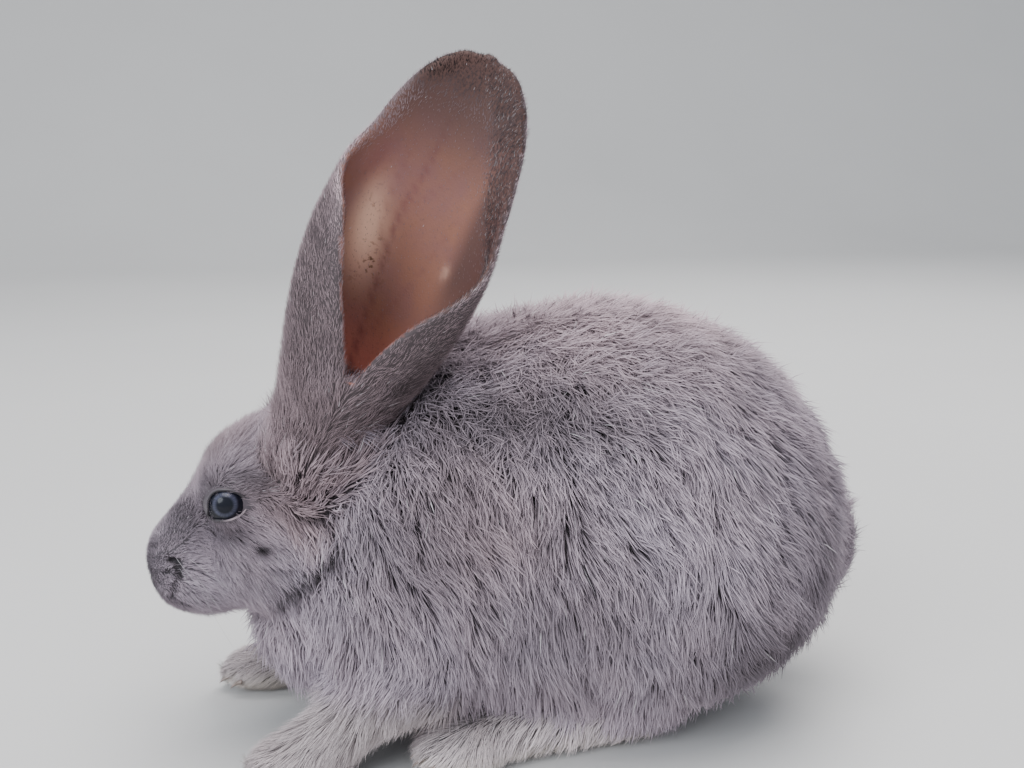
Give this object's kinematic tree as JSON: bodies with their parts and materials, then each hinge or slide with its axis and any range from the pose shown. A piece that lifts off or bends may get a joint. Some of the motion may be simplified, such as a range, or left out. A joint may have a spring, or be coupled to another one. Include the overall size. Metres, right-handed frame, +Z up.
{
  "type": "resting young rabbit model",
  "caption": "Life-size still model of a young grey rabbit resting with its ears raised, standing on its feet and rump.",
  "frame": {"origin": "on the floor under the middle of the rabbit's overall box", "axes": "+Z up, -X towards the nose, +Y towards the rabbit's right side"},
  "size_m": [0.2852, 0.1498, 0.2533],
  "materials": {
    "coat": "soft, dense, matt blue-grey fur with pale tips",
    "pale_coat": "short matt pale grey to cream fur of the feet",
    "ear_skin": "thin warm skin inside the ear under a fine down",
    "eye": "wet, glossy, dark blue-grey"
  },
  "bodies": {
    "root": {"trunk": "coat", "head": "coat", "neck": "coat", "tail": "coat", "ear_left": "ear_skin", "ear_right": "ear_skin", "eye_left": "eye", "eye_right": "eye", "foreleg_left": "coat", "foreleg_right": "coat", "forepaw_left": "pale_coat", "forepaw_right": "pale_coat", "thigh_left": "coat", "thigh_right": "coat", "hind_foot_left": "pale_coat", "hind_foot_right": "pale_coat"}
  },
  "joints": []
}
